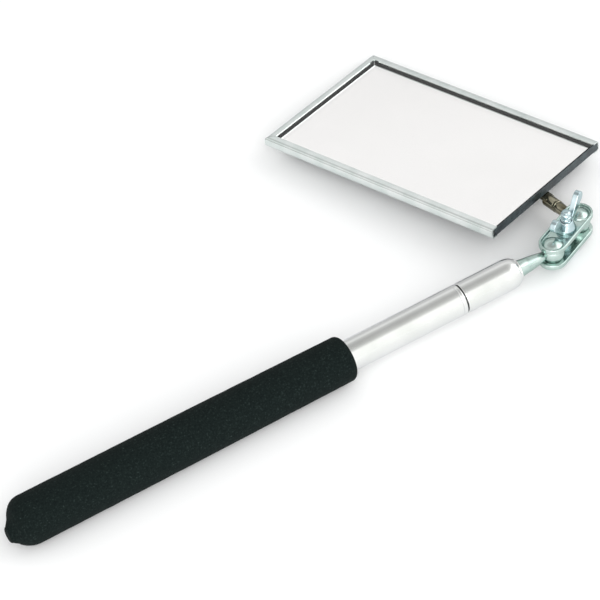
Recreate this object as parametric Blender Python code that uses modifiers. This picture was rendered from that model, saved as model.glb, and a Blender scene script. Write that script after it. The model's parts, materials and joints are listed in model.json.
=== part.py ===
"""Telescoping inspection mirror: a cushioned handle, one hidden telescoping tube,
a two-ball clamp with a wing nut, and a framed rectangular mirror.
Units are metres, +Z is up and the handle runs along +X. The tool lies on a table,
with its handle collapsed. The handle's pieces are turned about local Z, which the
handle frame points along +X from the centre of the handle's ball."""

from math import asin, cos, degrees, pi, radians, sin

import bmesh
import bpy

# Handle lengths, measured back from the centre of the handle's ball
neck_to_ball = 0.0128
sleeve_length = 0.0203
joint_gap = 0.0004
tube_length = 0.1422
grip_length = 0.1139
grip_overhang = 0.0130

# Handle sections
tube_radius = 0.0049
tube_wall = 0.00045
edge_round = 0.0003
tube_bore = tube_radius - tube_wall
grip_bore_fit = 0.0001
grip_bore_radius = tube_radius + grip_bore_fit
grip_mouth_radius = grip_bore_radius + 0.00212
grip_butt_radius = grip_bore_radius + 0.00275
grip_butt_round = 0.0052
butt_nipple_radius = 0.0024
butt_nipple_height = 0.0011
mouth_lip_length = 0.0034

# The hidden inner tube and the plugs
slide_space = 0.00045
sliding_fit = 0.00015
push_fit = 0.00015
inner_tube_radius = tube_bore - slide_space
inner_tube_wall = 0.0004
inner_tube_bore = inner_tube_radius - inner_tube_wall
inner_tube_length = tube_length - 0.0137
bead_radius = tube_bore - push_fit
bead_width = 0.0010
bush_length = 0.0100
bush_slot = 0.0012
bush_outer_fit = 0.00005
bush_inner_fit = 0.00006
plug_length = 0.0060
plug_cap_gap = 0.0002
plug_cap_thickness = 0.0010
plug_cap_room = 0.0007
sleeve_plug_inset = 0.0035
sleeve_plug_length = 0.0140
spigot_length = 0.0050

# Ball studs and balls
ball_radius = 0.00357
seat_gap = 0.0001
stud_shank_radius = 0.0019
stud_flange_radius = tube_radius * 0.56
handle_neck_tip_radius = 0.0015
mirror_neck_tip_radius = 0.0014
mirror_neck_base_radius = 0.0020

# Clamp: two dished plates whose rims turn away from the balls
ball_spacing = 0.01629
plate_radius = ball_radius + 0.00078
plate_inner_face = ball_radius * 0.63
plate_thickness = 0.0006
plate_rim_edge = plate_inner_face + 0.00165
plate_rim_wall = 0.0007
plate_edge_round = 0.0004
dome_wall = 0.0007
contact_gap = 0.00005
screw_radius = 0.0016
screw_fit = 0.0001
screw_head_radius = plate_radius - plate_rim_wall - 0.00025
screw_head_height = 0.0034
screw_spare = 0.0036
nut_height = 0.0036
nut_base_radius = plate_radius - plate_rim_wall - 0.00035
nut_top_radius = 0.0021
wing_reach = 0.0078
wing_rise = 0.0070
wing_tip_radius = 0.0019
wing_thickness = 0.0018

# How the joints lie at rest, in degrees
handle_ball_tilt = 4.91
handle_ball_swing = 27.15
mirror_ball_swing = 68.22
mirror_ball_tilt = 4.35
mirror_ball_spin = -0.4
pivot_turn = 14.45
nut_turn = 3.0

# Mirror
frame_length = 0.0902
frame_width = 0.0553
sheet = 0.0004
flange_width = 0.0026
glass_thickness = 0.00185
glass_fit = 0.0002
silver_thickness = 0.0001
back_plate_thickness = 0.0006
layer_gap = 0.00005
layers = back_plate_thickness + silver_thickness + glass_thickness + layer_gap * 5
frame_height = layers + sheet * 2

# Mirror's arm and pivot
neck_to_edge = 0.01629
pivot_inset = 0.0130
pivot_offset = 0.00286
barrel_length = 0.0045
barrel_to_edge = 0.0011
stud_pin_radius = 0.0012
tang_joint = 0.0016
tang_thickness = 0.0015
tang_width = 0.0062
tang_lift = 0.0001
tang_clearance = 0.00015
rivet_radius = 0.00115
rivet_fit = 0.0001
rivet_head_radius = 0.0024
rivet_head_height = 0.0009
pivot_washer_radius = 0.0029
pivot_washer_thickness = 0.0003
mirror_base_height = tang_lift + tang_thickness + tang_clearance - layer_gap - sheet
mirror_face_height = mirror_base_height + frame_height

# Where the tool lies
axis_height = grip_butt_radius
shift_x = 0.07457
shift_y = -0.05496

cut_spare = 0.001
steps_large = 40
steps_small = 28

for old in list(bpy.data.objects):
    bpy.data.objects.remove(old)

parts = bpy.data.collections.new("inspection_mirror")
cutters = bpy.data.collections.new("cutters")
cutters.hide_render = True
for group in (parts, cutters):
    bpy.context.scene.collection.children.link(group)


def material(name, color, roughness, metallic):
    made = bpy.data.materials.new(name)
    made.use_nodes = True
    shader = made.node_tree.nodes["Principled BSDF"]
    shader.inputs["Base Color"].default_value = (*color, 1.0)
    shader.inputs["Roughness"].default_value = roughness
    shader.inputs["Metallic"].default_value = metallic
    return made


zinc = (0.62, 0.70, 0.67)
steel = (0.66, 0.69, 0.68)
foam = (0.020, 0.026, 0.025)
plastic = (0.05, 0.05, 0.05)
bronze = (0.60, 0.47, 0.22)
olive = (0.50, 0.47, 0.34)


def empty(name, parent, place, turn):
    made = bpy.data.objects.new(name, None)
    made.empty_display_size = 0.005
    made.parent = parent
    made.location = place
    made.rotation_euler = turn
    parts.objects.link(made)
    return made


def add(mesh, name, frame, finish=None, group=parts):
    made = bpy.data.objects.new(name, mesh)
    made.parent = frame
    group.objects.link(made)
    if group is cutters:
        made.hide_render = True
        made.display_type = "WIRE"
    if finish:
        mesh.materials.append(material(name, *finish))
    return made


def smooth(made):
    made.data.shade_smooth()
    made.data.set_sharp_from_angle(angle=radians(35))


def turned(name, profile, frame, finish=None, steps=steps_large, group=parts):
    """A profile of (radius, height) points turned about local Z, outer side from top to bottom.
    A ring's profile is closed by repeating its first point."""
    ring = profile[0] == profile[-1]
    points = profile[:-1] if ring else profile
    mesh = bpy.data.meshes.new(name)
    edges = [(i, i + 1) for i in range(len(points) - 1)]
    if ring:
        edges.append((len(points) - 1, 0))
    mesh.from_pydata([(r, 0.0, z) for r, z in points], edges, [])
    made = add(mesh, name, frame, finish, group)
    screw = made.modifiers.new("turn", "SCREW")
    screw.steps = steps
    screw.render_steps = steps
    screw.use_merge_vertices = True
    screw.merge_threshold = 0.00001
    screw.use_smooth_shade = True
    return made


def tube_profile(outer, inner, top, bottom):
    return [(outer, top), (outer, bottom), (inner, bottom), (inner, top), (outer, top)]


def rod_profile(radius, top, bottom):
    return [(0.0, top), (radius, top), (radius, bottom), (0.0, bottom)]


def arc(centre_r, centre_z, radius, start, end, count):
    """Points on a circle from angle start to end, in degrees up from the radial direction."""
    turns = [radians(start + (end - start) * i / count) for i in range(count + 1)]
    return [(centre_r + radius * cos(a), centre_z + radius * sin(a)) for a in turns]


def outline(name, points, thickness, frame, finish=None, group=parts):
    """A closed flat outline in local XY, thick along Z about the frame's own plane."""
    curve = bpy.data.curves.new(name, "CURVE")
    curve.dimensions = "2D"
    curve.fill_mode = "BOTH"
    curve.extrude = thickness / 2
    spline = curve.splines.new("POLY")
    spline.points.add(len(points) - 1)
    for point, (x, y) in zip(spline.points, points):
        point.co = (x, y, 0.0, 1.0)
    spline.use_cyclic_u = True
    drawn = bpy.data.objects.new(name + "_curve", curve)
    bpy.context.scene.collection.objects.link(drawn)
    bpy.context.view_layer.update()
    seen = drawn.evaluated_get(bpy.context.evaluated_depsgraph_get())
    mesh = bpy.data.meshes.new_from_object(seen)
    bpy.data.objects.remove(drawn)
    shape = bmesh.new()
    shape.from_mesh(mesh)
    bmesh.ops.remove_doubles(shape, verts=shape.verts, dist=0.000001)
    bmesh.ops.recalc_face_normals(shape, faces=shape.faces)
    shape.to_mesh(mesh)
    shape.free()
    return add(mesh, name, frame, finish, group)


def oblong(length, radius, count=10):
    """The outline of two half circles a length apart, from the first centre at x = 0."""
    far = [(length + x, y) for x, y in arc(0, 0, radius, -90, 90, count)]
    near = arc(0, 0, radius, 90, 270, count)
    return far + near


def block(name, low, high, frame, finish=None, group=parts):
    mesh = bpy.data.meshes.new(name)
    shape = bmesh.new()
    bmesh.ops.create_cube(shape, size=1.0)
    size = [b - a for a, b in zip(low, high)]
    middle = [(a + b) / 2 for a, b in zip(low, high)]
    bmesh.ops.scale(shape, vec=size, verts=shape.verts)
    bmesh.ops.translate(shape, vec=middle, verts=shape.verts)
    shape.to_mesh(mesh)
    shape.free()
    return add(mesh, name, frame, finish, group)


def ball(name, radius, frame, finish=None, group=parts, around=28, down=14):
    mesh = bpy.data.meshes.new(name)
    shape = bmesh.new()
    bmesh.ops.create_uvsphere(shape, u_segments=around, v_segments=down, radius=radius)
    shape.to_mesh(mesh)
    shape.free()
    made = add(mesh, name, frame, finish, group)
    smooth(made)
    return made


def boolean(made, other, operation="DIFFERENCE"):
    modifier = made.modifiers.new(other.name, "BOOLEAN")
    modifier.operation = operation
    modifier.object = other
    modifier.solver = "EXACT"
    return made


def cup_end(tip_radius, gap):
    """The hollow end of a neck, concentric with the ball that it holds, from its rim to its middle."""
    reach = ball_radius + gap
    rim = asin(tip_radius / reach)
    turns = [rim * (1 - i / 3) for i in range(4)]
    return [(reach * sin(a), reach * cos(a)) for a in turns]


def build_handle(frame):
    """Heights here are distances along the handle from the ball, negative towards the butt."""
    nose = -neck_to_ball
    sleeve_rear = nose - sleeve_length
    tube_front = sleeve_rear - joint_gap
    tube_rear = tube_front - tube_length
    butt = tube_rear - grip_overhang
    mouth = butt + grip_length

    bore_end = tube_rear - plug_cap_gap - plug_cap_thickness - plug_cap_room
    mouth_round = (grip_mouth_radius - grip_bore_radius) * 0.75
    butt_centre = butt + grip_butt_round + butt_nipple_height
    cushion = [(0.0, bore_end), (grip_bore_radius, bore_end), (grip_bore_radius, mouth)]
    cushion += arc(grip_mouth_radius - mouth_round, mouth - mouth_round, mouth_round, 90, 0, 4)
    cushion += arc(grip_butt_radius - grip_butt_round, butt_centre, grip_butt_round, 0, -68, 6)
    cushion += [(butt_nipple_radius, butt + butt_nipple_height * 0.7),
                (butt_nipple_radius * 0.7, butt), (0.0, butt)]
    turned("cushion_grip", cushion, frame, (foam, 0.95, 0.0))

    lip_bore = inner_tube_radius + sliding_fit
    lip_rear = tube_front - mouth_lip_length
    turned("handle_tube",
           [(tube_radius - edge_round, tube_front), (tube_radius, tube_front - edge_round),
            (tube_radius, tube_rear), (tube_bore, tube_rear), (tube_bore, lip_rear),
            (lip_bore, lip_rear + edge_round), (lip_bore, tube_front),
            (tube_radius - edge_round, tube_front)], frame, (steel, 0.22, 1.0))

    plug_radius = tube_bore - push_fit
    cap_top = tube_rear - plug_cap_gap
    turned("tube_end_plug",
           [(0.0, tube_rear + plug_length), (plug_radius, tube_rear + plug_length),
            (plug_radius, cap_top), (tube_radius, cap_top), (tube_radius, cap_top - plug_cap_thickness),
            (0.0, cap_top - plug_cap_thickness)], frame, (plastic, 0.6, 0.0), steps_small)

    plug_front = nose - sleeve_plug_inset
    plug_rear = plug_front - sleeve_plug_length
    inner_front = plug_rear - push_fit
    inner_rear = inner_front - inner_tube_length
    bush_rear = inner_rear + bead_width + push_fit
    bush_front = bush_rear + bush_length
    bead_rear = bush_front + push_fit
    turned("inner_tube",
           [(inner_tube_radius, inner_front), (inner_tube_radius, bead_rear + bead_width),
            (bead_radius, bead_rear + bead_width * 0.7), (bead_radius, bead_rear),
            (inner_tube_radius, bead_rear), (inner_tube_radius, inner_rear + bead_width),
            (bead_radius, inner_rear + bead_width), (bead_radius, inner_rear),
            (inner_tube_bore, inner_rear), (inner_tube_bore, inner_front),
            (inner_tube_radius, inner_front)], frame, (steel, 0.2, 1.0))

    bush = turned("friction_bush",
                  tube_profile(tube_bore - bush_outer_fit, inner_tube_radius + bush_inner_fit,
                               bush_front, bush_rear), frame, (bronze, 0.3, 1.0))
    slot = block("bush_slot", (-tube_radius, -bush_slot / 2, bush_rear - cut_spare),
                 (0.0, bush_slot / 2, bush_front + cut_spare), frame, group=cutters)
    boolean(bush, slot)

    shank_bore = stud_shank_radius + push_fit
    spigot_radius = inner_tube_bore - push_fit
    turned("sleeve_plug",
           [(shank_bore, plug_front), (plug_radius, plug_front), (plug_radius, plug_rear),
            (spigot_radius, plug_rear), (spigot_radius, plug_rear - spigot_length),
            (shank_bore, plug_rear - spigot_length), (shank_bore, plug_front)],
           frame, (steel, 0.4, 1.0), steps_small)

    rim = stud_flange_radius + push_fit
    turned("head_sleeve",
           [(rim, nose), (tube_radius - 0.0012, nose), (tube_radius - 0.0006, nose - 0.0006),
            (tube_radius - 0.0002, nose - 0.0020), (tube_radius, nose - 0.0045),
            (tube_radius, sleeve_rear + edge_round), (tube_radius - edge_round, sleeve_rear),
            (tube_bore, sleeve_rear), (tube_bore, plug_front + push_fit),
            (tube_bore - edge_round, nose - 0.0018), (rim, nose - 0.0010), (rim, nose)],
           frame, (steel, 0.22, 1.0))

    neck = [(r, -z) for r, z in cup_end(handle_neck_tip_radius, seat_gap)][::-1]
    flange_front = nose + push_fit
    flange_rear = plug_front + push_fit
    shank_end = plug_rear + push_fit
    turned("handle_stud",
           neck + [(stud_flange_radius, flange_front), (stud_flange_radius, flange_rear),
                   (stud_shank_radius, flange_rear), (stud_shank_radius, shank_end), (0.0, shank_end)],
           frame, (zinc, 0.3, 1.0), steps_small)
    ball("handle_ball", ball_radius, frame, (zinc, 0.2, 1.0))


def plate(name, side, frame):
    """A dished clamp plate with its rim turned away from the balls; side is 1 above them, -1 below."""
    rim_height = plate_rim_edge - plate_inner_face
    level = empty(name + "_level", frame, (0, 0, side * (plate_inner_face + rim_height / 2)), (0, 0, 0))
    body = outline(name, oblong(ball_spacing, plate_radius), rim_height, level, (zinc, 0.3, 1.0))
    edge = body.modifiers.new("rounded_edges", "BEVEL")
    edge.width = plate_edge_round
    edge.segments = 2
    edge.limit_method = "ANGLE"
    edge.angle_limit = radians(60)

    floor = plate_inner_face + plate_thickness
    depth = plate_rim_edge - floor + cut_spare
    dish_level = empty(name + "_dish_level", frame, (0, 0, side * (floor + depth / 2)), (0, 0, 0))
    dish = outline(name + "_dish", oblong(ball_spacing, plate_radius - plate_rim_wall, 8), depth,
                   dish_level, group=cutters)
    boolean(body, dish)

    dome_radius = ball_radius + seat_gap + dome_wall
    dome_foot = plate_inner_face + plate_thickness / 2
    dome_edge = degrees(asin(dome_foot / dome_radius))
    cap = arc(0, 0, dome_radius, 90, dome_edge, 5)
    cap[0] = (0.0, dome_radius)
    cap.append((0.0, dome_foot))
    if side < 0:
        cap = [(r, -z) for r, z in cap[::-1]]
    seats = {}
    for end, x in (("near", 0.0), ("far", ball_spacing)):
        seats[end] = empty(name + "_" + end + "_seat", frame, (x, 0, 0), (0, 0, 0))
        dome = turned(name + "_" + end + "_dome", cap, seats[end], steps=steps_large, group=cutters)
        boolean(body, dome, "UNION")
    for end, seat in seats.items():
        cup = ball(name + "_" + end + "_cup", ball_radius + seat_gap, seat, group=cutters)
        boolean(body, cup)

    middle = empty(name + "_middle", frame, (ball_spacing / 2, 0, 0), (0, 0, 0))
    reach = side * (plate_rim_edge + cut_spare)
    hole = turned(name + "_hole", rod_profile(screw_radius + screw_fit, max(0.0, reach), min(0.0, reach)),
                  middle, steps=steps_small, group=cutters)
    boolean(body, hole)
    body.data.shade_smooth()
    body.data.set_sharp_from_angle(angle=radians(35))


def build_clamp(frame):
    plate("lower_plate", -1, frame)
    plate("upper_plate", 1, frame)
    middle = empty("screw_axis", frame, (ball_spacing / 2, 0, 0), (0, 0, 0))
    floor = plate_inner_face + plate_thickness + contact_gap
    nut_top = floor + nut_height
    top = nut_top + screw_spare
    head = -floor
    low = head - screw_head_height
    turned("clamp_screw",
           [(0.0, top), (screw_radius * 0.7, top - 0.0002), (screw_radius, top - 0.0006),
            (screw_radius, head), (screw_head_radius, head),
            (screw_head_radius, head - screw_head_height * 0.35),
            (screw_head_radius * 0.94, head - screw_head_height * 0.6),
            (screw_head_radius * 0.75, low + screw_head_height * 0.15),
            (screw_head_radius * 0.45, low), (0.0, low)], middle, (zinc, 0.3, 1.0), steps_small)

    turning = empty("nut_axis", middle, (0, 0, 0), (0, 0, radians(nut_turn)))
    hole = screw_radius + screw_fit
    nut = turned("wing_nut",
                 [(hole, nut_top), (nut_top_radius, nut_top), (nut_base_radius * 0.97, floor + 0.0008),
                  (nut_base_radius, floor + 0.0004), (nut_base_radius, floor),
                  (hole, floor), (hole, nut_top)], turning, (zinc, 0.28, 1.0), steps_small)
    root = nut_top_radius * 0.9
    wing = [(root, floor + nut_height * 0.3), (nut_base_radius * 1.1, floor + nut_height * 0.5)]
    wing += arc(wing_reach, floor + wing_rise, wing_tip_radius, -40, 150, 8)
    wing += [(nut_top_radius * 1.3, nut_top - 0.0003), (root, nut_top - 0.0002)]
    for name, way in (("right", 0.0), ("left", pi)):
        upright = empty("wing_" + name + "_plane", turning, (0, 0, 0), (pi / 2, 0, way))
        cut = outline("wing_" + name, wing, wing_thickness, upright, group=cutters)
        boolean(nut, cut, "UNION")


def build_mirror_stud(frame, pivot):
    """The tapered stud runs along the arm from the far ball into the barrel of the tang."""
    turn = empty("arm_turning_axis", frame, (0, 0, 0), (0, pi / 2, 0))
    ball("mirror_ball", ball_radius, turn, (zinc, 0.2, 1.0))
    barrel_end = neck_to_edge - barrel_to_edge
    barrel_start = barrel_end - barrel_length
    neck = cup_end(mirror_neck_tip_radius, seat_gap)
    pin_end = barrel_end - 0.0004
    neck_base = barrel_start - contact_gap
    turned("mirror_stud",
           [(0.0, pin_end), (stud_pin_radius, pin_end), (stud_pin_radius, neck_base),
            (mirror_neck_base_radius, neck_base)] + neck,
           turn, (olive, 0.3, 1.0), steps_small)

    barrel_radius = mirror_neck_base_radius
    barrel_bore = stud_pin_radius + seat_gap
    tang = turned("stud_tang", tube_profile(barrel_radius, barrel_bore, barrel_end, barrel_start),
                  turn, (olive, 0.3, 1.0), steps_small)
    eye = neck_to_edge + pivot_inset
    half = barrel_radius * 0.8
    strip = [(barrel_end - tang_joint, -half), (neck_to_edge, -half)]
    strip += arc(eye, 0, tang_width / 2, -110, 110, 10)
    strip += [(neck_to_edge, half), (barrel_end - tang_joint, half)]
    level = empty("tang_level", frame, (0, 0, tang_lift + tang_thickness / 2), (0, 0, 0))
    flat = outline("tang_strip", strip, tang_thickness, level, group=cutters)
    boolean(tang, flat, "UNION")
    bore = turned("barrel_bore", rod_profile(barrel_bore, barrel_end, barrel_start - cut_spare), turn,
                  steps=steps_small, group=cutters)
    boolean(tang, bore)
    hole = turned("tang_eye", rod_profile(rivet_radius + rivet_fit, tang_thickness * 2, -cut_spare), pivot,
                  steps=steps_small, group=cutters)
    boolean(tang, hole)


def build_mirror(frame):
    """The frame's origin is on the pivot rivet, at the height of the arm's axis."""
    open_x = -pivot_inset
    far_x = open_x + frame_length
    low_y = pivot_offset - frame_width / 2
    high_y = pivot_offset + frame_width / 2
    bottom = mirror_base_height
    top = mirror_face_height
    shell = block("frame_channel", (open_x, low_y, bottom), (far_x, high_y, top), frame,
                  ((0.70, 0.73, 0.72), 0.2, 1.0))
    cavity = block("frame_cavity", (open_x - cut_spare, low_y + sheet, bottom + sheet),
                   (far_x - sheet, high_y - sheet, top - sheet), frame, group=cutters)
    boolean(shell, cavity)
    for name, low, high in (("window", top - sheet - cut_spare, top + cut_spare),
                            ("back_window", bottom - cut_spare, bottom + sheet + cut_spare)):
        window = block("frame_" + name, (open_x - cut_spare, low_y + flange_width, low),
                       (far_x - flange_width, high_y - flange_width, high), frame, group=cutters)
        boolean(shell, window)

    inset = sheet + glass_fit
    edges = (open_x + inset, low_y + inset, far_x - inset, high_y - inset)
    plate_low = bottom + sheet + layer_gap
    plate_high = plate_low + back_plate_thickness
    back = block("back_plate", (open_x, edges[1], plate_low), (edges[2], edges[3], plate_high),
                 frame, ((0.45, 0.50, 0.49), 0.35, 1.0))
    lip = block("back_lip", (open_x, edges[1], plate_low), (open_x + sheet, edges[3], top - sheet),
                frame, group=cutters)
    boolean(back, lip, "UNION")
    pivot_hole = turned("back_plate_hole", rod_profile(rivet_radius + rivet_fit, top, -cut_spare), frame,
                        steps=steps_small, group=cutters)
    boolean(back, pivot_hole)
    silver_low = plate_high + layer_gap * 2
    silver_high = silver_low + silver_thickness
    block("silver_layer", (edges[0], edges[1], silver_low), (edges[2], edges[3], silver_high),
          frame, ((0.92, 0.93, 0.92), 0.03, 1.0))
    glass_low = silver_high + layer_gap
    block("mirror_glass", (edges[0], edges[1], glass_low), (edges[2], edges[3], glass_low + glass_thickness),
          frame, ((0.90, 0.95, 0.93), 0.02, 0.0))

    rivet_top = plate_high - contact_gap
    washer_top = tang_lift - contact_gap
    washer_low = washer_top - pivot_washer_thickness
    head_top = washer_low - contact_gap
    head_low = head_top - rivet_head_height
    turned("pivot_rivet",
           [(0.0, rivet_top), (rivet_radius, rivet_top), (rivet_radius, head_top),
            (rivet_head_radius, head_top), (rivet_head_radius * 0.95, head_top - rivet_head_height * 0.45),
            (rivet_head_radius * 0.6, head_low + rivet_head_height * 0.12), (0.0, head_low)],
           frame, (steel, 0.35, 1.0), steps_small)
    turned("pivot_washer",
           tube_profile(pivot_washer_radius, rivet_radius + rivet_fit, washer_top, washer_low),
           frame, (steel, 0.35, 1.0), steps_small)


rest = empty("rest_on_table", None, (shift_x, shift_y, axis_height), (0, 0, 0))
handle_axis = empty("handle_axis", rest, (0, 0, 0), (0, pi / 2, 0))
tilted = empty("handle_ball_tilt_frame", rest, (0, 0, 0), (0, radians(handle_ball_tilt), 0))
clamp_frame = empty("clamp_frame", tilted, (0, 0, 0), (0, 0, radians(handle_ball_swing)))
far_ball = empty("mirror_ball_frame", clamp_frame, (ball_spacing, 0, 0), (0, 0, radians(mirror_ball_swing)))
tipped = empty("mirror_tilt_frame", far_ball, (0, 0, 0), (0, radians(mirror_ball_tilt), 0))
arm = empty("arm_frame", tipped, (0, 0, 0), (radians(mirror_ball_spin), 0, 0))
pivot_frame = empty("pivot_frame", arm, (neck_to_edge + pivot_inset, 0, 0), (0, 0, radians(pivot_turn)))

build_handle(handle_axis)
build_clamp(clamp_frame)
build_mirror_stud(arm, pivot_frame)
build_mirror(pivot_frame)
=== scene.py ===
import json
from math import asin, cos, pi, radians, sin, sqrt

import bmesh
import bpy
from mathutils import Matrix, Vector, noise


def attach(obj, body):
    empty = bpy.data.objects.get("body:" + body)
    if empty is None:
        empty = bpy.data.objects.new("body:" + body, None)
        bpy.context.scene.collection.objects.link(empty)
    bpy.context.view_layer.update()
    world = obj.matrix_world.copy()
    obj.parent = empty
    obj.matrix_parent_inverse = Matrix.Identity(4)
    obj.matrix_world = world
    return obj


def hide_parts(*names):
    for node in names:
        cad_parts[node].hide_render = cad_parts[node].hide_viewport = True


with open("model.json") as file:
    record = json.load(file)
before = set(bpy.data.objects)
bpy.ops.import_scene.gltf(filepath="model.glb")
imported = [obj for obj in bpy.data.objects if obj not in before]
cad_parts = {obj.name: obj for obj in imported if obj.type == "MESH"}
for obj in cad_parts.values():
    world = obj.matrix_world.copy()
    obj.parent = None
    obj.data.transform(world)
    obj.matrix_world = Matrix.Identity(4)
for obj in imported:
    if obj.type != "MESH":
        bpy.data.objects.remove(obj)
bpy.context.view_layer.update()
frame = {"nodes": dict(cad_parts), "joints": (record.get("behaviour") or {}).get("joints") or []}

mm = 0.001

# Sizes below are in millimetres. Each part is drawn in axes of its own and put in place by finished().


def jointOf(name):
    return next(joint for joint in frame["joints"] if joint["name"] == name)


def placed(origin, xAxis, zAxis):
    # local millimetres to metres in the row frame
    z = Vector(zAxis).normalized()
    x = Vector(xAxis)
    x = (x - z * x.dot(z)).normalized()
    turn = Matrix((x, z.cross(x), z)).transposed().to_4x4()
    return Matrix.Translation(Vector(origin)) @ turn @ Matrix.Scale(mm, 4)


handleBall = Vector(jointOf("handle_ball_swing")["pos_m"])
farBall = Vector(jointOf("mirror_ball_swing")["pos_m"])
screwMiddle = Vector(jointOf("wing_nut_turn")["pos_m"])
clampUp = Vector(jointOf("handle_ball_swing")["axis"])
armAxis = Vector(jointOf("mirror_spin")["axis"])
mirrorUp = Vector(jointOf("mirror_pivot")["axis"])
pivotPlace = Vector(jointOf("mirror_pivot")["pos_m"])
pivotTurn = 14.45
mirrorAlong = Matrix.Rotation(radians(pivotTurn), 3, mirrorUp) @ armAxis

handleAt = placed(handleBall, (0, 0, -1), (1, 0, 0))
clampAt = placed(handleBall, farBall - handleBall, clampUp)
screwAt = placed(screwMiddle, farBall - handleBall, clampUp)
armAt = placed(farBall, mirrorUp.cross(armAxis), armAxis)
mirrorAt = placed(pivotPlace, mirrorAlong, mirrorUp)


# ---- mesh helpers

def finished(mesh, name, place, material, body, nodes=(), sharp=40):
    mesh.transform(place)
    made = bpy.data.objects.new(name, mesh)
    bpy.context.scene.collection.objects.link(made)
    if material:
        mesh.materials.clear()
        mesh.materials.append(material)
    mesh.shade_smooth()
    mesh.set_sharp_from_angle(angle=radians(sharp))
    if nodes:
        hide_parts(*nodes)
    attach(made, body)
    return made


def arcPoints(centreR, centreZ, radius, start, end, count):
    turns = [radians(start + (end - start) * i / count) for i in range(count + 1)]
    return [(centreR + radius * cos(a), centreZ + radius * sin(a)) for a in turns]


def divided(profile, longest):
    # adds points until no stretch of the profile is longer than this
    out = [profile[0]]
    for (r0, z0), (r1, z1) in zip(profile, profile[1:]):
        count = max(1, int(sqrt((r1 - r0) ** 2 + (z1 - z0) ** 2) / longest))
        out += [(r0 + (r1 - r0) * i / count, z0 + (z1 - z0) * i / count) for i in range(1, count + 1)]
    return out


def lathe(profile, steps=96):
    # profile of (radius, height) in millimetres, closed either on the axis or onto itself
    ring = profile[0] == profile[-1]
    points = profile[:-1] if ring else profile
    shape = bmesh.new()
    rows = []
    for r, z in points:
        if r < 1e-6:
            rows.append([shape.verts.new((0, 0, z))])
        else:
            rows.append([shape.verts.new((r * cos(2 * pi * i / steps), r * sin(2 * pi * i / steps), z))
                         for i in range(steps)])
    pairs = list(zip(rows, rows[1:])) + ([(rows[-1], rows[0])] if ring else [])
    for a, b in pairs:
        for i in range(steps):
            j = (i + 1) % steps
            corners = [a[i % len(a)], a[j % len(a)], b[j % len(b)], b[i % len(b)]]
            unique = list(dict.fromkeys(corners))
            if len(unique) > 2:
                shape.faces.new(unique)
    bmesh.ops.recalc_face_normals(shape, faces=shape.faces)
    mesh = bpy.data.meshes.new("turned")
    shape.to_mesh(mesh)
    shape.free()
    return mesh


def softened(node, voxel, passes):
    # a copy of the CAD solid with its edges and facets melted, in metres
    shape = bmesh.new()
    shape.from_mesh(frame["nodes"][node].data)
    bmesh.ops.remove_doubles(shape, verts=shape.verts, dist=1e-7)
    mesh = bpy.data.meshes.new(node + "_soft")
    shape.to_mesh(mesh)
    shape.free()
    made = bpy.data.objects.new(node + "_soft", mesh)
    bpy.context.scene.collection.objects.link(made)
    remesh = made.modifiers.new("remesh", "REMESH")
    remesh.mode = "VOXEL"
    remesh.voxel_size = voxel * mm
    relax = made.modifiers.new("relax", "SMOOTH")
    relax.factor = 0.5
    relax.iterations = passes
    seen = made.evaluated_get(bpy.context.evaluated_depsgraph_get())
    result = bpy.data.meshes.new_from_object(seen)
    bpy.data.objects.remove(made)
    return result


def joined(meshes):
    shape = bmesh.new()
    for mesh in meshes:
        shape.from_mesh(mesh)
    out = bpy.data.meshes.new("joined")
    shape.to_mesh(out)
    shape.free()
    return out


# ---- materials

def newMaterial(name):
    material = bpy.data.materials.new(name)
    material.use_nodes = True
    tree = material.node_tree
    return material, tree, tree.nodes["Principled BSDF"]


def mapped(tree, place, stretch=(1, 1, 1)):
    # object coordinates read in a piece's own axes, in metres
    coords = tree.nodes.new("ShaderNodeTexCoord")
    local = tree.nodes.new("ShaderNodeMapping")
    local.vector_type = "TEXTURE"
    local.inputs["Location"].default_value = place.translation
    local.inputs["Rotation"].default_value = place.to_3x3().normalized().to_euler()
    tree.links.new(coords.outputs["Object"], local.inputs["Vector"])
    scaled = tree.nodes.new("ShaderNodeMapping")
    scaled.inputs["Scale"].default_value = stretch
    tree.links.new(local.outputs["Vector"], scaled.inputs["Vector"])
    return scaled.outputs["Vector"]


def mixed(tree, factor, first, second):
    # sockets 0, 6 and 7 of a colour mix are its factor and its two colours
    node = tree.nodes.new("ShaderNodeMix")
    node.data_type = "RGBA"
    tree.links.new(factor, node.inputs[0])
    for place, color in ((6, first), (7, second)):
        if isinstance(color, tuple):
            node.inputs[place].default_value = (*color, 1.0)
        else:
            tree.links.new(color, node.inputs[place])
    return node.outputs[2]


def noiseOf(tree, vector, scale, detail=3.0, rough=0.5):
    node = tree.nodes.new("ShaderNodeTexNoise")
    node.inputs["Scale"].default_value = scale
    node.inputs["Detail"].default_value = detail
    node.inputs["Roughness"].default_value = rough
    tree.links.new(vector, node.inputs["Vector"])
    return node.outputs["Fac"]


def ramp(tree, value, stops):
    node = tree.nodes.new("ShaderNodeValToRGB")
    while len(node.color_ramp.elements) < len(stops):
        node.color_ramp.elements.new(0.5)
    for element, (position, color) in zip(node.color_ramp.elements, stops):
        element.position = position
        element.color = (*color, 1.0)
    tree.links.new(value, node.inputs["Fac"])
    return node.outputs["Color"]


def ranged(tree, value, low, high, fromLow=0.3, fromHigh=0.7):
    node = tree.nodes.new("ShaderNodeMapRange")
    node.inputs["From Min"].default_value = fromLow
    node.inputs["From Max"].default_value = fromHigh
    node.inputs["To Min"].default_value = low
    node.inputs["To Max"].default_value = high
    tree.links.new(value, node.inputs["Value"])
    return node.outputs["Result"]


def bumped(tree, shader, height, depth, strength=1.0):
    node = tree.nodes.new("ShaderNodeBump")
    node.inputs["Strength"].default_value = strength
    node.inputs["Distance"].default_value = depth
    tree.links.new(height, node.inputs["Height"])
    tree.links.new(node.outputs["Normal"], shader.inputs["Normal"])


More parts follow.
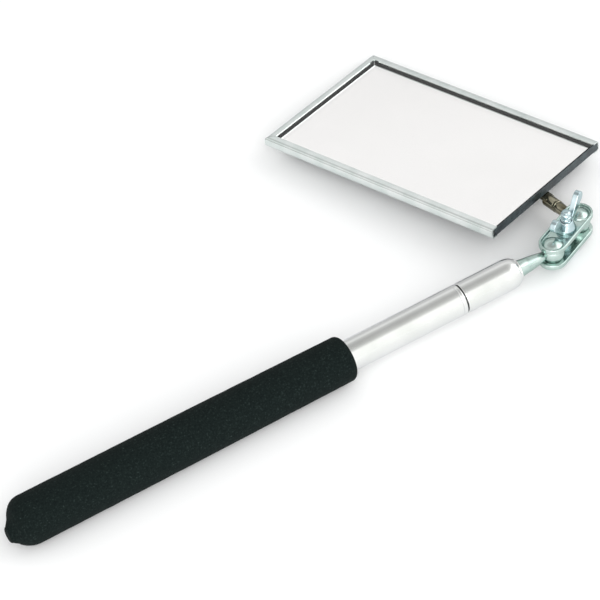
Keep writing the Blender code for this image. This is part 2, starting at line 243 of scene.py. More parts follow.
def plated(name, place, looks):
    # plated or bare metal: cloudy colour, drawn or rolled lines, a fine grain, and a painted dark
    # reflection mixed in where the surface turns away from view
    material, tree, shader = newMaterial(name)
    even = mapped(tree, place)
    lined = mapped(tree, place, looks["lines"])
    cloud = noiseOf(tree, even, looks["cloudScale"], 4.0)
    edgeReflectionMask = tree.nodes.new("ShaderNodeLayerWeight")
    edgeReflectionMask.inputs["Blend"].default_value = looks["rim"]
    cloudy = ramp(tree, cloud, [(0.3, looks["dark"]), (0.7, looks["light"])])
    # the edge colour is a painted dark reflection, laid on by how far the surface faces away from view
    cloudyWithPaintedReflection = mixed(tree, edgeReflectionMask.outputs["Facing"], cloudy, looks["edge"])
    tree.links.new(cloudyWithPaintedReflection, shader.inputs["Base Color"])
    grain = noiseOf(tree, lined, looks["lineScale"], 5.0, 0.6)
    tree.links.new(ranged(tree, grain, *looks["rough"]), shader.inputs["Roughness"])
    shader.inputs["Metallic"].default_value = 1.0
    bumped(tree, shader, grain, looks["depth"] * mm, 0.5)
    return material


# edge: colour of the painted dark reflection at edges turned away from view; rim: the blend of that
# painted reflection
chromeLooks = {"dark": (0.77, 0.79, 0.755), "light": (0.87, 0.88, 0.855), "cloudScale": 90,
               "edge": (0.56, 0.56, 0.60), "rim": 0.35,
               "lines": (1, 1, 0.02), "lineScale": 900, "rough": (0.17, 0.27), "depth": 0.004}
zincLooks = {"dark": (0.50, 0.62, 0.58), "light": (0.72, 0.82, 0.78), "cloudScale": 260,
             "edge": (0.10, 0.22, 0.19), "rim": 0.38,
             "lines": (1, 1, 1), "lineScale": 1500, "rough": (0.14, 0.28), "depth": 0.012}
nutLooks = {"dark": (0.52, 0.65, 0.68), "light": (0.74, 0.85, 0.88), "cloudScale": 260,
            "edge": (0.12, 0.24, 0.26), "rim": 0.38,
            "lines": (1, 1, 1), "lineScale": 1500, "rough": (0.14, 0.28), "depth": 0.012}
oliveLooks = {"dark": (0.08, 0.07, 0.03), "light": (0.60, 0.57, 0.44), "cloudScale": 300,
              "edge": (0.05, 0.045, 0.02), "rim": 0.5,
              "lines": (1, 1, 0.2), "lineScale": 1500, "rough": (0.10, 0.20), "depth": 0.010}
stripLooks = {"dark": (0.66, 0.73, 0.70), "light": (0.88, 0.91, 0.89), "cloudScale": 160,
              "edge": (0.55, 0.59, 0.60), "rim": 0.35,
              "lines": (0.05, 0.05, 1), "lineScale": 1400, "rough": (0.10, 0.20), "depth": 0.006}
steelLooks = {"dark": (0.50, 0.53, 0.53), "light": (0.68, 0.70, 0.70), "cloudScale": 200,
              "edge": (0.25, 0.26, 0.27), "rim": 0.4,
              "lines": (1, 1, 1), "lineScale": 1600, "rough": (0.25, 0.45), "depth": 0.010}
bronzeLooks = {"dark": (0.50, 0.36, 0.15), "light": (0.66, 0.50, 0.24), "cloudScale": 200,
               "edge": (0.25, 0.17, 0.07), "rim": 0.4,
               "lines": (1, 1, 1), "lineScale": 1500, "rough": (0.25, 0.40), "depth": 0.010}

chrome = plated("brightTube", handleAt, chromeLooks)
neckZinc = plated("neckZinc", handleAt, zincLooks)
clampZinc = plated("clampZinc", clampAt, zincLooks)
screwZinc = plated("screwZinc", screwAt, nutLooks)
olive = plated("oliveZinc", armAt, oliveLooks)
strip = plated("rolledStrip", mirrorAt, stripLooks)
steel = plated("dullSteel", handleAt, steelLooks)
bronze = plated("bushBronze", handleAt, bronzeLooks)


def foamMaterial():
    looks = {"poreScale": 2600, "speckScale": 1700, "depth": 0.05}
    material, tree, shader = newMaterial("blackFoam")
    even = mapped(tree, handleAt)
    pores = tree.nodes.new("ShaderNodeTexVoronoi")
    pores.inputs["Scale"].default_value = looks["poreScale"]
    tree.links.new(even, pores.inputs["Vector"])
    speck = noiseOf(tree, even, looks["speckScale"], 2.0, 0.7)
    color = ramp(tree, speck, [(0.30, (0.002, 0.005, 0.005)), (0.60, (0.006, 0.011, 0.010)),
                               (0.76, (0.022, 0.034, 0.032)), (0.86, (0.16, 0.20, 0.19))])
    tree.links.new(color, shader.inputs["Base Color"])
    shader.inputs["Roughness"].default_value = 0.93
    shader.inputs["Specular IOR Level"].default_value = 0.12
    bumped(tree, shader, pores.outputs["Distance"], looks["depth"] * mm, 0.8)
    return material


def paintedBack():
    material, tree, shader = newMaterial("slateBackPaint")
    even = mapped(tree, mirrorAt)
    cloud = noiseOf(tree, even, 350, 4.0)
    tree.links.new(ramp(tree, cloud, [(0.35, (0.008, 0.014, 0.018)), (0.65, (0.030, 0.046, 0.052))]),
                   shader.inputs["Base Color"])
    tree.links.new(ranged(tree, noiseOf(tree, even, 1200, 3.0), 0.22, 0.42), shader.inputs["Roughness"])
    bumped(tree, shader, noiseOf(tree, even, 1500, 3.0), 0.02 * mm, 0.5)
    return material


def clearGlass():
    material, tree, shader = newMaterial("clearGlass")
    even = mapped(tree, mirrorAt)
    tint = noiseOf(tree, even, 60, 2.0)
    tree.links.new(ramp(tree, tint, [(0.3, (0.990, 0.990, 0.988)), (0.7, (0.996, 0.996, 0.994))]),
                   shader.inputs["Base Color"])
    shader.inputs["Transmission Weight"].default_value = 1.0
    shader.inputs["Roughness"].default_value = 0.0
    shader.inputs["IOR"].default_value = 1.5
    return material


def silvered():
    material, tree, shader = newMaterial("silvering")
    even = mapped(tree, mirrorAt)
    cloud = noiseOf(tree, even, 40, 2.0)
    tree.links.new(ramp(tree, cloud, [(0.3, (0.965, 0.955, 0.948)), (0.7, (0.975, 0.965, 0.960))]),
                   shader.inputs["Base Color"])
    tree.links.new(ranged(tree, cloud, 0.010, 0.025), shader.inputs["Roughness"])
    shader.inputs["Metallic"].default_value = 1.0
    return material


def mouldedPlastic():
    material, tree, shader = newMaterial("plugPlastic")
    even = mapped(tree, handleAt)
    grain = noiseOf(tree, even, 900, 4.0)
    tree.links.new(ramp(tree, grain, [(0.3, (0.03, 0.03, 0.03)), (0.7, (0.06, 0.06, 0.06))]),
                   shader.inputs["Base Color"])
    tree.links.new(ranged(tree, grain, 0.45, 0.65), shader.inputs["Roughness"])
    bumped(tree, shader, grain, 0.02 * mm, 0.5)
    return material


foam = foamMaterial()
slate = paintedBack()
glass = clearGlass()
silver = silvered()
plugPlastic = mouldedPlastic()
print("materials ready")


# ---- handle, in millimetres back from the centre of its ball

handle = {"nose": -12.8, "sleeveRear": -33.1, "tubeFront": -33.5, "tubeRear": -175.7,
          "tubeRadius": 4.9, "bore": 4.45, "lipBore": 4.15, "lipRear": -36.9,
          "edgeRound": 0.35, "groove": 0.10, "rimBore": 2.90, "rimRound": 0.32, "shoulder": 3.72,
          "shoulderLength": 3.6}
grip = {"butt": -188.7, "mouth": -73.4, "mouthRadius": 7.2, "mouthRound": 1.9, "buttRadius": 7.72,
        "buttRound": 6.3, "nippleRadius": 2.6, "nippleHeight": 1.5, "boreRadius": 5.0,
        "boreEnd": -177.6, "lumps": 0.05, "lumpSize": 5.0, "grain": 0.035,
        "grainSize": 0.7, "sagFrom": 7.0, "sag": 1.7, "sagTowards": (0.79, -0.61, 0)}


def buildGrip():
    g = grip
    centre = g["butt"] + g["buttRound"] + g["nippleHeight"]
    profile = [(0.0, g["boreEnd"]), (g["boreRadius"], g["boreEnd"]), (g["boreRadius"], g["mouth"] - 0.4),
               (g["boreRadius"] + 0.25, g["mouth"] - 0.05)]
    profile += arcPoints(g["mouthRadius"] - g["mouthRound"], g["mouth"] - g["mouthRound"],
                         g["mouthRound"], 88, 0, 12)
    middle = (g["mouth"] + centre) / 2
    profile += [((g["mouthRadius"] + g["buttRadius"]) / 2 + 0.1, middle)]
    profile += arcPoints(g["buttRadius"] - g["buttRound"], centre, g["buttRound"], 0, -64, 14)
    profile += arcPoints(g["nippleRadius"] - 0.7, g["butt"] + 0.7, 0.7, -10, -90, 6)
    profile += [(0.0, g["butt"])]
    mesh = lathe(divided(profile, 0.8), 120)
    towards = Vector(g["sagTowards"])
    for vertex in mesh.vertices:
        # the moulded end droops to one side
        late = max(0.0, 1 - (vertex.co.z - g["butt"]) / g["sagFrom"])
        away = Vector((vertex.co.x, vertex.co.y, 0))
        inner = max(0.0, 1 - (away.length / g["buttRadius"]) ** 2)
        vertex.co += towards * g["sag"] * late * late * (3 - 2 * late) * inner
        if away.length < g["boreRadius"] + 0.2:
            continue
        lump = noise.noise(vertex.co / g["lumpSize"]) * g["lumps"]
        grain = noise.noise(vertex.co / g["grainSize"]) * g["grain"]
        vertex.co += away.normalized() * (lump + grain - g["lumps"] * 0.4)
    made = finished(mesh, "foamGrip", handleAt, foam, "handle", ["cushion_grip"], 60)


def buildTubes():
    h = handle
    r, front, rear, edge = h["tubeRadius"], h["tubeFront"], h["tubeRear"], h["edgeRound"]
    tube = arcPoints(r - edge, front - edge, edge, 90, 0, 6)
    tube += [(r, front - 0.45), (r, front - 0.95), (r, front - 1.05)]
    tube += [(r - h["groove"], front - 1.20), (r - h["groove"], front - 1.35)]
    tube += [(r, front - 1.50), (r, front - 1.60)]
    tube += [(r, rear), (h["bore"], rear), (h["bore"], h["lipRear"])]
    tube += [(h["lipBore"], h["lipRear"] + 0.5), (h["lipBore"], front - 0.1), (h["lipBore"] + 0.1, front)]
    finished(lathe(divided(tube + [tube[0]], 4.0)), "handleTube", handleAt, chrome, "handle",
             ["handle_tube"], 20)

    nose, back, rim, rimRound = h["nose"], h["sleeveRear"], h["rimBore"], h["rimRound"]
    sleeve = arcPoints(rim + 0.25, nose - 0.25, 0.25, 180, 90, 4)
    sleeve += arcPoints(3.36, nose - rimRound, rimRound, 90, -35, 7)
    sleeve += [(3.60, nose - 0.66)]
    for i in range(13):
        turn = radians(7.5 * i)
        out = (r - h["shoulder"]) * sin(turn)
        sleeve += [(h["shoulder"] + out, nose - 0.75 - h["shoulderLength"] * (1 - cos(turn)))]
    sleeve += [(r, nose - 4.45), (r, nose - 4.9), (r, back + 0.4)]
    sleeve += arcPoints(r - 0.3, back + 0.3, 0.3, 0, -90, 5)
    sleeve += [(h["bore"], back), (h["bore"], nose - 3.3)]
    sleeve += [(h["bore"] - 0.5, nose - 1.7), (rim, nose - 0.9)]
    finished(lathe(divided(sleeve + [sleeve[0]], 2.5)), "headSleeve", handleAt, chrome, "head",
             ["head_sleeve"], 25)


neck = {"ballRadius": 3.57, "gap": 0.1, "tipRadius": 1.5, "flangeRadius": 2.744, "front": -12.65,
        "flangeRear": -16.15, "shankRadius": 1.9, "shankEnd": -30.15,
        "rings": 7, "ringFrom": -5.8, "ringTo": -9.4, "ringDepth": 0.10}


def ballMesh(radius):
    # a turned ball with a small flat at each pole and a witness line round its middle
    flat, seam, seamSpread = 0.03, 0.012, 1.5
    profile = [(0.0, radius - 0.02), (0.5, radius - flat)]
    profile += arcPoints(0, 0, radius, 80, seamSpread, 26)
    profile += [(radius - seam, 0.0)]
    profile += arcPoints(0, 0, radius, -seamSpread, -80, 26)
    profile += [(0.5, flat - radius), (0.0, -radius + 0.02)]
    return lathe(profile, 72)


def ringTree():
    # rings standing round a cone: one turned wire ring per step, sized to the cone where it stands
    tree = bpy.data.node_groups.new("coneRings", "GeometryNodeTree")
    face = tree.interface
    sizes = [("Count", "NodeSocketInt"), ("Start Height", "NodeSocketFloat"),
             ("End Height", "NodeSocketFloat"), ("Start Radius", "NodeSocketFloat"),
             ("End Radius", "NodeSocketFloat"), ("Wire", "NodeSocketFloat"),
             ("Finish", "NodeSocketMaterial")]
    for label, kind in sizes:
        face.new_socket(label, in_out="INPUT", socket_type=kind)
    face.new_socket("Geometry", in_out="OUTPUT", socket_type="NodeSocketGeometry")
    nodes, link = tree.nodes, tree.links.new
    given, out = nodes.new("NodeGroupInput"), nodes.new("NodeGroupOutput")
    line = nodes.new("GeometryNodeMeshLine")
    line.mode = "END_POINTS"
    low, high = nodes.new("ShaderNodeCombineXYZ"), nodes.new("ShaderNodeCombineXYZ")
    link(given.outputs["Start Height"], low.inputs["Z"])
    link(given.outputs["End Height"], high.inputs["Z"])
    link(given.outputs["Count"], line.inputs["Count"])
    link(low.outputs[0], line.inputs["Start Location"])
    link(high.outputs[0], line.inputs["Offset"])
    height = nodes.new("GeometryNodeInputPosition")
    split = nodes.new("ShaderNodeSeparateXYZ")
    link(height.outputs[0], split.inputs[0])
    size = nodes.new("ShaderNodeMapRange")
    link(split.outputs["Z"], size.inputs["Value"])
    link(given.outputs["Start Height"], size.inputs["From Min"])
    link(given.outputs["End Height"], size.inputs["From Max"])
    link(given.outputs["Start Radius"], size.inputs["To Min"])
    link(given.outputs["End Radius"], size.inputs["To Max"])
    circle = nodes.new("GeometryNodeCurvePrimitiveCircle")
    wire = nodes.new("GeometryNodeCurvePrimitiveCircle")
    circle.inputs["Resolution"].default_value = 64
    circle.inputs["Radius"].default_value = 1.0
    wire.inputs["Resolution"].default_value = 8
    link(given.outputs["Wire"], wire.inputs["Radius"])
    ring = nodes.new("GeometryNodeCurveToMesh")
    link(circle.outputs["Curve"], ring.inputs["Curve"])
    link(wire.outputs["Curve"], ring.inputs["Profile Curve"])
    stand = nodes.new("GeometryNodeInstanceOnPoints")
    link(line.outputs["Mesh"], stand.inputs["Points"])
    link(ring.outputs["Mesh"], stand.inputs["Instance"])
    link(size.outputs["Result"], stand.inputs["Scale"])
    real = nodes.new("GeometryNodeRealizeInstances")
    finish = nodes.new("GeometryNodeSetMaterial")
    link(stand.outputs["Instances"], real.inputs["Geometry"])
    link(real.outputs["Geometry"], finish.inputs["Geometry"])
    link(given.outputs["Finish"], finish.inputs["Material"])
    link(finish.outputs["Geometry"], out.inputs["Geometry"])
    return tree


def threadTree():
    # one ridge wound round a shank
    tree = bpy.data.node_groups.new("screwThread", "GeometryNodeTree")
    face = tree.interface
    sizes = [("Radius", "NodeSocketFloat"), ("Height", "NodeSocketFloat"), ("Turns", "NodeSocketFloat"),
             ("Ridge", "NodeSocketFloat"), ("Finish", "NodeSocketMaterial")]
    for label, kind in sizes:
        face.new_socket(label, in_out="INPUT", socket_type=kind)
    face.new_socket("Geometry", in_out="OUTPUT", socket_type="NodeSocketGeometry")
    nodes, link = tree.nodes, tree.links.new
    given, out = nodes.new("NodeGroupInput"), nodes.new("NodeGroupOutput")
    spiral = nodes.new("GeometryNodeCurveSpiral")
    spiral.inputs["Resolution"].default_value = 48
    link(given.outputs["Turns"], spiral.inputs["Rotations"])
    link(given.outputs["Radius"], spiral.inputs["Start Radius"])
    link(given.outputs["Radius"], spiral.inputs["End Radius"])
    link(given.outputs["Height"], spiral.inputs["Height"])
    ridge = nodes.new("GeometryNodeCurvePrimitiveCircle")
    ridge.inputs["Resolution"].default_value = 6
    link(given.outputs["Ridge"], ridge.inputs["Radius"])
    wound = nodes.new("GeometryNodeCurveToMesh")
    wound.inputs["Fill Caps"].default_value = True
    link(spiral.outputs["Curve"], wound.inputs["Curve"])
    link(ridge.outputs["Curve"], wound.inputs["Profile Curve"])
    real = nodes.new("GeometryNodeRealizeInstances")
    finish = nodes.new("GeometryNodeSetMaterial")
    link(wound.outputs["Mesh"], real.inputs["Geometry"])
    link(real.outputs["Geometry"], finish.inputs["Geometry"])
    link(given.outputs["Finish"], finish.inputs["Material"])
    link(finish.outputs["Geometry"], out.inputs["Geometry"])
    return tree


def grown(tree, sizes):
    # runs a tree on an empty mesh, with its sizes set by socket identifier, and keeps the plain mesh
    seed = bpy.data.objects.new(tree.name, bpy.data.meshes.new(tree.name))
    bpy.context.scene.collection.objects.link(seed)
    modifier = seed.modifiers.new("grow", "NODES")
    modifier.node_group = tree
    for item in tree.interface.items_tree:
        if item.item_type == "SOCKET" and item.in_out == "INPUT" and item.name in sizes:
            modifier[item.identifier] = sizes[item.name]
    seen = seed.evaluated_get(bpy.context.evaluated_depsgraph_get())
    mesh = bpy.data.meshes.new_from_object(seen)
    bpy.data.objects.remove(seed)
    return mesh


coneRings = ringTree()
screwThread = threadTree()


def cupEnd(tip, reach, count=8):
    rim = asin(tip / reach)
    turns = [rim * (1 - i / count) for i in range(count + 1)]
    return [(reach * sin(a), reach * cos(a)) for a in turns]


def buildNeck():
    n = neck
    reach = n["ballRadius"] + n["gap"]
    profile = [(r, -z) for r, z in cupEnd(n["tipRadius"], reach)][::-1]
    profile[-1] = (n["tipRadius"] - 0.05, profile[-1][1])
    profile += [(n["tipRadius"], profile[-1][1] - 0.08), (n["flangeRadius"], n["front"]),
                (n["flangeRadius"], n["flangeRear"]), (n["shankRadius"], n["flangeRear"]),
                (n["shankRadius"], n["shankEnd"]), (0.0, n["shankEnd"])]
    cone = lathe(divided(profile, 1.5), 72)
    slope = (n["flangeRadius"] - n["tipRadius"]) / (-n["front"] - 3.4)
    radiusAt = {z: n["tipRadius"] + slope * (-z - 3.4) for z in (n["ringFrom"], n["ringTo"])}
    rings = grown(coneRings, {"Count": n["rings"], "Start Height": n["ringFrom"],
                              "End Height": n["ringTo"], "Start Radius": radiusAt[n["ringFrom"]],
                              "End Radius": radiusAt[n["ringTo"]], "Wire": n["ringDepth"] / 2,
                              "Finish": neckZinc})
    finished(joined([cone, rings]), "handleNeck", handleAt, neckZinc, "head", ["handle_stud"], 50)
    finished(ballMesh(n["ballRadius"]), "handleBall", handleAt, neckZinc, "handle_ball",
             ["handle_ball"], 40)


buildGrip()
buildTubes()
buildNeck()
print("handle built")


# ---- clamp

clamp = {"plateVoxel": 0.13, "platePasses": 6, "nutVoxel": 0.11, "nutPasses": 8}
screw = {"radius": 1.6, "core": 1.36, "top": 10.05,
         "headTop": -2.9, "headRadius": 3.4, "headBottom": -6.3, "headRound": 2.1,
         "pitch": 0.794, "threadFrom": -2.7, "threadTo": 9.7, "ridge": 0.25}


def buildClamp():
    c = clamp
    for node, name, body in (("upper_plate", "upperPlate", "top_plate"),
                             ("lower_plate", "lowerPlate", "clamp")):
        finished(softened(node, c["plateVoxel"], c["platePasses"]), name, Matrix.Identity(4),
                 clampZinc, body, [node], 70)
    finished(softened("wing_nut", c["nutVoxel"], c["nutPasses"]), "wingNut", Matrix.Identity(4),
             screwZinc, "nut", ["wing_nut"], 70)


def buildScrew():
    s = screw
    head, low = s["headTop"], s["headBottom"]
    profile = [(0.0, s["top"]), (s["core"] - 0.5, s["top"] - 0.04), (s["core"] - 0.25, s["top"] - 0.16),
               (s["core"], s["top"] - 0.45), (s["core"], s["threadFrom"]), (s["radius"], head + 0.1),
               (s["radius"], head), (s["headRadius"] - 0.15, head), (s["headRadius"], head - 0.15),
               (s["headRadius"], head - 1.1)]
    profile += arcPoints(s["headRadius"] - s["headRound"], low + s["headRound"], s["headRound"],
                         0, -90, 10)
    profile += [(0.9, low), (0.8, low + 0.35), (0.0, low + 0.4)]
    turns = (s["threadTo"] - s["threadFrom"]) / s["pitch"]
    thread = grown(screwThread, {"Radius": s["radius"] - s["ridge"], "Turns": turns,
                                 "Height": s["threadTo"] - s["threadFrom"], "Ridge": s["ridge"],
                                 "Finish": screwZinc})
    thread.transform(Matrix.Translation((0, 0, s["threadFrom"])))
    finished(joined([lathe(divided(profile, 1.5), 64), thread]), "clampScrew", screwAt, screwZinc,
             "clamp", ["clamp_screw"], 50)


buildClamp()
buildScrew()
print("clamp built")


# ---- arm of the mirror, in millimetres from the far ball

arm = {"tipRadius": 1.4, "baseRadius": 2.0, "baseAt": 10.64, "pinRadius": 1.2, "pinEnd": 14.79,
       "tangVoxel": 0.11, "tangPasses": 5}


def buildArm():
    a = arm
    reach = neck["ballRadius"] + neck["gap"]
    cup = cupEnd(a["tipRadius"], reach)
    profile = [(0.0, a["pinEnd"]), (a["pinRadius"], a["pinEnd"]), (a["pinRadius"], a["baseAt"]),
               (a["baseRadius"] - 0.12, a["baseAt"]), (a["baseRadius"], a["baseAt"] - 0.12),
               (a["baseRadius"], a["baseAt"] - 0.7), (a["baseRadius"] - 0.16, a["baseAt"] - 0.85),
               (a["baseRadius"] - 0.16, a["baseAt"] - 1.0), (a["baseRadius"] - 0.06, a["baseAt"] - 1.15)]
    finished(lathe(divided(profile + cup, 1.2), 64), "mirrorStud", armAt, olive, "stud",
             ["mirror_stud"], 45)
    finished(ballMesh(neck["ballRadius"]), "mirrorBall", armAt, clampZinc, "mirror_ball",
             ["mirror_ball"], 40)
    tang = softened("stud_tang", a["tangVoxel"], a["tangPasses"])
    finished(tang, "studTang", Matrix.Identity(4), olive, "bracket", ["stud_tang"], 70)


buildArm()
print("arm built")


# ---- mirror, in millimetres from its rivet

mirror = {"open": -13.0, "far": 77.2, "low": -24.79, "high": 30.51, "base": 1.3, "top": 4.9,
          "sheet": 0.4, "flange": 2.6, "bend": 1.15, "mitreGap": 0.07, "step": 1.5,
          "waves": 0.05, "waveSize": 6.0, "fit": 0.6,
          "plate": 0.6, "silver": 0.1, "glass": 1.85, "glassEdge": 0.16, "lip": 0.4}


def channelSection():
    # the folded strip seen from its end: (inwards from the outer wall, height), once round
    m = mirror
    deep, bend, sheet = m["flange"], m["bend"], m["sheet"]
    tall = m["top"] - m["base"]
    outer = [(deep, tall)]
    outer += [(bend - x, tall - bend + z) for x, z in arcPoints(0, 0, bend, 90, 0, 8)]
    outer += [(bend - x, bend + z) for x, z in arcPoints(0, 0, bend, 0, -90, 8)]
    outer += [(deep, 0.0)]
    small = bend - sheet
    inner = [(deep, sheet)]
    inner += [(bend - x, bend + z) for x, z in arcPoints(0, 0, small, -90, 0, 6)]
    inner += [(bend - x, tall - bend + z) for x, z in arcPoints(0, 0, small, 0, 90, 6)]
    inner += [(deep, tall - sheet)]
    return outer + inner


def foldedSide(shape, start, end, inwards, mitreStart, mitreEnd):
    # one straight side; a mitred end is cut back at 45 degrees
    m = mirror
    along = (end - start).normalized()
    length = (end - start).length
    count = int(length / m["step"])
    section = channelSection()
    rows = []
    for i in range(count + 1):
        row = []
        for depth, height in section:
            first = depth + m["mitreGap"] if mitreStart else 0.0
            last = length - (depth + m["mitreGap"] if mitreEnd else 0.0)
            where = start + along * (first + (last - first) * i / count)
            wave = noise.noise(Vector((where.x, where.y, height * 3)) / m["waveSize"])
            edge = max(0.0, depth - m["bend"]) / (m["flange"] - m["bend"])
            side = 1 if height > (m["top"] - m["base"]) / 2 else -1
            point = where + inwards * (depth + wave * m["waves"] * edge)
            lift = -side * m["waves"] * edge * (0.5 + wave)
            row.append(shape.verts.new((point.x, point.y, m["base"] + height + lift)))
        rows.append(row)
    size = len(section)
    for a, b in zip(rows, rows[1:]):
        for j in range(size):
            k = (j + 1) % size
            shape.faces.new((a[j], a[k], b[k], b[j]))
    shape.faces.new(rows[0])
    shape.faces.new(rows[-1][::-1])


def buildChannel():
    m = mirror
    shape = bmesh.new()
    corners = [Vector((m["open"], m["low"], 0)), Vector((m["far"], m["low"], 0)),
               Vector((m["far"], m["high"], 0)), Vector((m["open"], m["high"], 0))]
    foldedSide(shape, corners[0], corners[1], Vector((0, 1, 0)), False, True)
    foldedSide(shape, corners[1], corners[2], Vector((-1, 0, 0)), True, True)
    foldedSide(shape, corners[2], corners[3], Vector((0, -1, 0)), True, False)
    bmesh.ops.triangulate(shape, faces=[f for f in shape.faces if len(f.verts) > 4])
    bmesh.ops.recalc_face_normals(shape, faces=shape.faces)
    mesh = bpy.data.meshes.new("frameStrip")
    shape.to_mesh(mesh)
    shape.free()
    finished(mesh, "frameStrip", mirrorAt, strip, "mirror", ["frame_channel"], 35)


def slab(low, high, edge, segments=3):
    shape = bmesh.new()
    bmesh.ops.create_cube(shape, size=1.0)
    size = [b - a for a, b in zip(low, high)]
    bmesh.ops.scale(shape, vec=size, verts=shape.verts)
    bmesh.ops.translate(shape, vec=[(a + b) / 2 for a, b in zip(low, high)], verts=shape.verts)
    bmesh.ops.bevel(shape, geom=shape.edges[:], offset=edge, segments=segments, affect="EDGES",
                    profile=0.5)
    mesh = bpy.data.meshes.new("slab")
    shape.to_mesh(mesh)
    shape.free()
    return mesh


def buildGlass():
    m = mirror
    inside = m["fit"]
    plateLow = m["base"] + m["sheet"] + 0.05
    plateHigh = plateLow + m["plate"]
    silverLow = plateHigh + 0.1
    glassLow = silverLow + 0.15
    box = (m["open"] + inside, m["low"] + inside, m["far"] - inside, m["high"] - inside)
    finished(slab((box[0], box[1], glassLow), (box[2], box[3], glassLow + m["glass"]),
                  m["glassEdge"]),
             "mirrorGlass", mirrorAt, glass, "mirror", ["mirror_glass"], 10)
    finished(slab((box[0], box[1], silverLow), (box[2], box[3], silverLow + m["silver"]),
                  0.02, 1),
             "silverLayer", mirrorAt, silver, "mirror", ["silver_layer"], 10)
    plate = slab((m["open"] + 0.2, box[1], plateLow), (box[2], box[3], plateHigh), 0.1)
    lip = slab((m["open"], box[1], plateLow), (m["open"] + m["lip"], box[3], m["top"] - m["sheet"]),
               0.12)
    # the rolled edge of the lip
    hem = slab((m["open"] + 0.02, box[1] + 0.3, plateLow + 1.25),
               (m["open"] + 0.42, box[3] - 0.3, plateLow + 1.5), 0.1)
    finished(joined([plate, lip, hem]), "backPlate", mirrorAt, slate, "mirror", ["back_plate"], 10)


rivet = {"shank": 1.15, "headRadius": 2.4, "headTop": -0.3, "headHeight": 0.9, "headRound": 0.75,
         "washerBore": 1.3, "washerRadius": 2.9, "washerTop": 0.05, "washer": 0.3}


def buildRivet():
    v = rivet
    top = mirror["base"] + mirror["sheet"] + mirror["plate"]
    head = v["headTop"]
    profile = [(0.0, top), (v["shank"], top), (v["shank"], head), (v["headRadius"] - 0.1, head),
               (v["headRadius"], head - 0.1)]
    profile += arcPoints(v["headRadius"] - 0.85, head - 0.15, v["headRound"], 20, -80, 9)
    profile += [(0.0, head - v["headHeight"])]
    finished(lathe(profile, 48), "pivotRivet", mirrorAt, steel, "mirror", ["pivot_rivet"], 40)
    bore, out, high = v["washerBore"], v["washerRadius"], v["washerTop"]
    low = high - v["washer"]
    washer = [(bore, high), (out - 0.1, high), (out, high - 0.08), (out, low + 0.08), (out - 0.1, low),
              (bore, low), (bore, high)]
    finished(lathe(washer, 48), "pivotWasher", mirrorAt, steel, "mirror", ["pivot_washer"], 30)


buildChannel()
buildGlass()
buildRivet()
print("mirror built")

# these pieces are hidden at rest, so the CAD solids stay and get a finish
for node, material in (("inner_tube", chrome), ("sleeve_plug", steel), ("friction_bush", bronze),
                       ("tube_end_plug", plugPlastic)):
    for materialSlot in frame["nodes"][node].material_slots:
        materialSlot.material = material

# ---- floor, light and camera

studio = {"floorColor": (0.94, 0.945, 0.945), "keyPower": 6.0, "fillPower": 2.0,
          "front": [(0.0, 1.2), (0.78, 1.2), (0.86, 0.85), (0.94, 0.50), (1.0, 0.46)],
          "behind": [(0.0, 0.70), (0.42, 0.74), (0.50, 0.97), (0.68, 0.97), (0.80, 0.66), (0.94, 0.48),
                     (1.0, 0.46)]}


def buildFloor():
    shape = bmesh.new()
    bmesh.ops.create_grid(shape, x_segments=1, y_segments=1, size=9.0)
    mesh = bpy.data.meshes.new("paleFloor")
    shape.to_mesh(mesh)
    shape.free()
    made = bpy.data.objects.new("paleFloor", mesh)
    bpy.context.scene.collection.objects.link(made)
    material, tree, shader = newMaterial("paleFloor")
    coords = tree.nodes.new("ShaderNodeTexCoord")
    cloud = noiseOf(tree, coords.outputs["Object"], 3.0)
    base = studio["floorColor"]
    tree.links.new(ramp(tree, cloud, [(0.0, base), (1.0, tuple(c + 0.01 for c in base))]),
                   shader.inputs["Base Color"])
    shader.inputs["Roughness"].default_value = 0.9
    shader.inputs["Specular IOR Level"].default_value = 0.1
    mesh.materials.append(material)


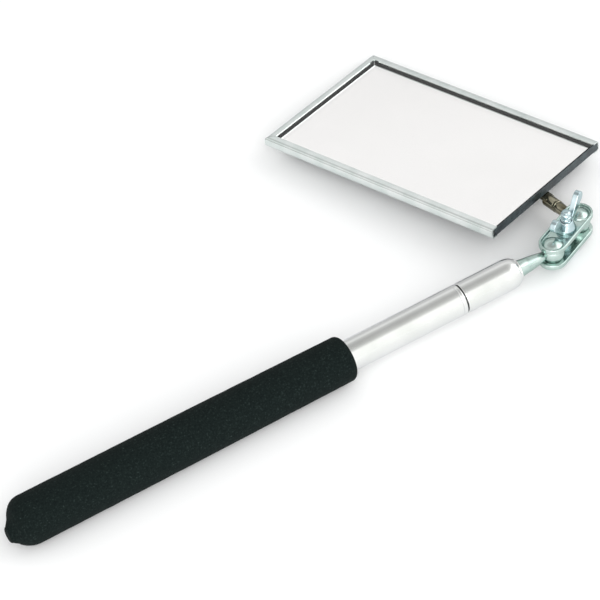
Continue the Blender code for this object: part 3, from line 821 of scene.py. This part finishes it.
def buildLight():
    world = bpy.data.worlds.new("studio")
    bpy.context.scene.world = world
    world.use_nodes = True
    tree = world.node_tree
    coords = tree.nodes.new("ShaderNodeTexCoord")
    split = tree.nodes.new("ShaderNodeSeparateXYZ")
    tree.links.new(coords.outputs["Generated"], split.inputs["Vector"])
    skies = [ramp(tree, split.outputs["Z"], [(at, (v, v, v)) for at, v in studio[side]])
             for side in ("front", "behind")]
    side = ranged(tree, split.outputs["Y"], 0.0, 1.0, -0.2, 0.2)
    tree.links.new(mixed(tree, side, *skies), tree.nodes["Background"].inputs["Color"])
    for name, size, power, place in (
            ("key", 0.9, studio["keyPower"], (-0.35, -0.85, 0.55)),
            ("fill", 0.8, studio["fillPower"], (0.8, -0.2, 0.5))):
        lamp = bpy.data.lights.new(name, "AREA")
        lamp.size = size
        lamp.energy = power
        made = bpy.data.objects.new(name, lamp)
        made.location = place
        made.rotation_euler = (-Vector(place)).to_track_quat("-Z", "Y").to_euler()
        bpy.context.scene.collection.objects.link(made)


view = {"azimuth": -24.8987, "elevation": 43.5793, "roll": -8.9474, "distance": 1.08287,
        "lens": 214.03, "aimRight": -0.07723, "aimUp": -0.009086}


def buildCamera():
    v = view
    az, el, roll = radians(v["azimuth"]), radians(v["elevation"]), radians(v["roll"])
    back = Vector((sin(az) * cos(el), -cos(az) * cos(el), sin(el)))
    right = Vector((cos(az), sin(az), 0))
    up = back.cross(right)
    turnedRight = right * cos(roll) + up * sin(roll)
    turnedUp = up * cos(roll) - right * sin(roll)
    origin = Vector((handleBall.x, handleBall.y, 0))
    lens = bpy.data.cameras.new("camera")
    lens.lens = v["lens"]
    lens.clip_start = 0.01
    made = bpy.data.objects.new("camera", lens)
    turn = Matrix((turnedRight, turnedUp, back)).transposed().to_4x4()
    place = origin + turnedRight * v["aimRight"] + turnedUp * v["aimUp"] + back * v["distance"]
    made.matrix_world = Matrix.Translation(place) @ turn
    bpy.context.scene.collection.objects.link(made)
    bpy.context.scene.camera = made


buildFloor()
buildLight()
buildCamera()
bpy.context.scene.view_settings.view_transform = "Standard"
print("studio ready")
